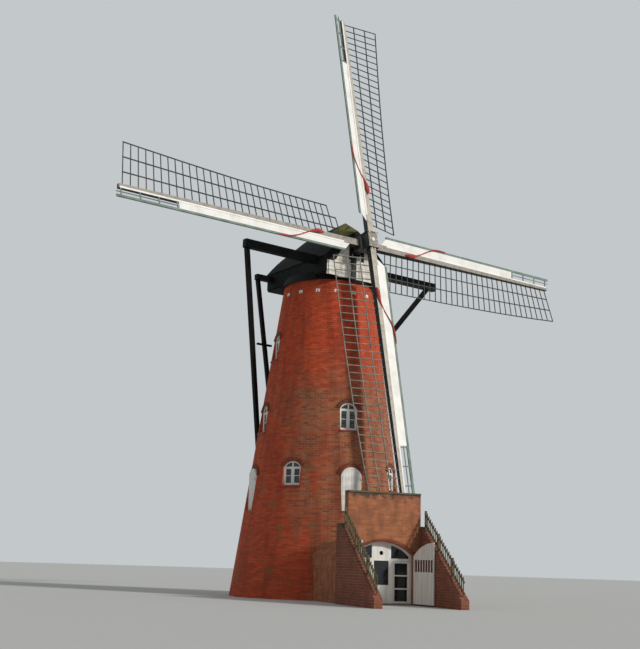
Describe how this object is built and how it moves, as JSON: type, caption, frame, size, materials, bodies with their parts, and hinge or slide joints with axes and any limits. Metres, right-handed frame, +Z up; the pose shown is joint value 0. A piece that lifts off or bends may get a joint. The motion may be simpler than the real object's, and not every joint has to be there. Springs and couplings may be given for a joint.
{
  "type": "tower windmill",
  "caption": "Round tapering brick tower mill with turning cap, long-cloth lattice sails, tail braces and a vaulted entrance passage.",
  "frame": {"origin": "on the ground at the tower's axis", "axes": "+Z up, -Y is the way the entrance faces"},
  "size_m": [25.7475, 16.6403, 30.2535],
  "materials": {
    "brick": "matt brickwork",
    "stone": "weathered",
    "floor_wood": "bare boards",
    "white_wood": "white paint",
    "glass": "clear",
    "grey_wood": "weathered",
    "black_wood": "tarred",
    "mossy_roof": "mossy shingles",
    "iron": "black paint",
    "shaft_wood": "oiled",
    "stock_steel": "grey paint",
    "lattice_wood": "weathered paint",
    "green_wood": "grey-green paint",
    "dark_green_wood": "dark green paint",
    "red_cloth": "weathered canvas"
  },
  "bodies": {
    "tower": {"front_wall": "brick", "right_wall": "brick", "back_wall": "brick", "left_wall": "brick", "front_right_wall": "brick", "back_right_wall": "brick", "back_left_wall": "brick", "front_left_wall": "brick", "base_walls_main": "brick", "base_walls_diagonal": "brick", "wall_over_doors": "brick", "ground_floor": "stone", "upper_floors": "floor_wood", "window_frames": "white_wood", "window_panes": "glass", "door_frames": "white_wood", "fixed_doors": "white_wood", "vents": "white_wood", "curb_ring": "black_wood", "passage_walls": "brick", "passage_vault": "brick", "passage_floor": "stone", "portal_piers": "brick", "portal_wall": "brick", "portal_coping": "stone", "wing_walls": "brick", "wing_fences": "grey_wood", "entrance_screen": "white_wood", "entrance_panes": "glass", "hinge_pins": "iron"},
    "cap": {"cap_frame": "black_wood", "cap_roof": "mossy_roof", "cap_side_walls": "black_wood", "cap_rear_wall": "black_wood", "cap_front_boards": "white_wood", "cap_skirt": "black_wood", "breast_beam": "white_wood", "cap_front_post": "dark_green_wood", "cap_soffit": "black_wood", "long_cross_beam": "black_wood", "short_cross_beam": "black_wood", "tail_pole": "black_wood", "tail_braces": "black_wood"},
    "rotor": {"windshaft": "shaft_wood", "poll_end": "iron", "front_stock": "stock_steel", "back_stock": "stock_steel", "lattice_top": "lattice_wood", "lattice_left": "lattice_wood", "lattice_bottom": "lattice_wood", "lattice_right": "lattice_wood", "wind_boards": "white_wood", "edge_frames": "green_wood", "rolled_sails": "red_cloth"},
    "front_door": {"front_door": "white_wood"},
    "left_door": {"left_door": "white_wood"},
    "glazed_door": {"glazed_door": "white_wood", "glazed_door_panes": "glass"},
    "outer_leaf_right": {"outer_leaf_right": "white_wood"},
    "outer_leaf_left": {"outer_leaf_left": "white_wood"}
  },
  "joints": [
    {"name": "cap_yaw", "type": "hinge", "parent": "tower", "child": "cap", "pos_m": [0, 0, 15.34], "axis": [0, 0, 1], "continuous": true},
    {"name": "sail_spin", "type": "hinge", "parent": "cap", "child": "rotor", "pos_m": [0, 0, 16.443], "axis": [0.2608, -0.9457, 0.1941], "continuous": true},
    {"name": "front_door_hinge", "type": "hinge", "parent": "tower", "child": "front_door", "pos_m": [0.44, -3.66532, 4.9], "axis": [0, 0, 1], "range_deg": [0, 90]},
    {"name": "left_door_hinge", "type": "hinge", "parent": "tower", "child": "left_door", "pos_m": [-3.66532, -0.44, 4.9], "axis": [0, 0, 1], "range_deg": [0, 90]},
    {"name": "glazed_door_hinge", "type": "hinge", "parent": "tower", "child": "glazed_door", "pos_m": [1.31, -7.038, 0.9], "axis": [0, 0, -1], "range_deg": [0, 90]},
    {"name": "outer_leaf_right_hinge", "type": "hinge", "parent": "tower", "child": "outer_leaf_right", "pos_m": [1.39, -7.472, 1], "axis": [0, 0, 1], "range_deg": [-101, 0]},
    {"name": "outer_leaf_left_hinge", "type": "hinge", "parent": "tower", "child": "outer_leaf_left", "pos_m": [-1.39, -7.472, 1], "axis": [0, 0, 1], "range_deg": [0, 101]}
  ]
}
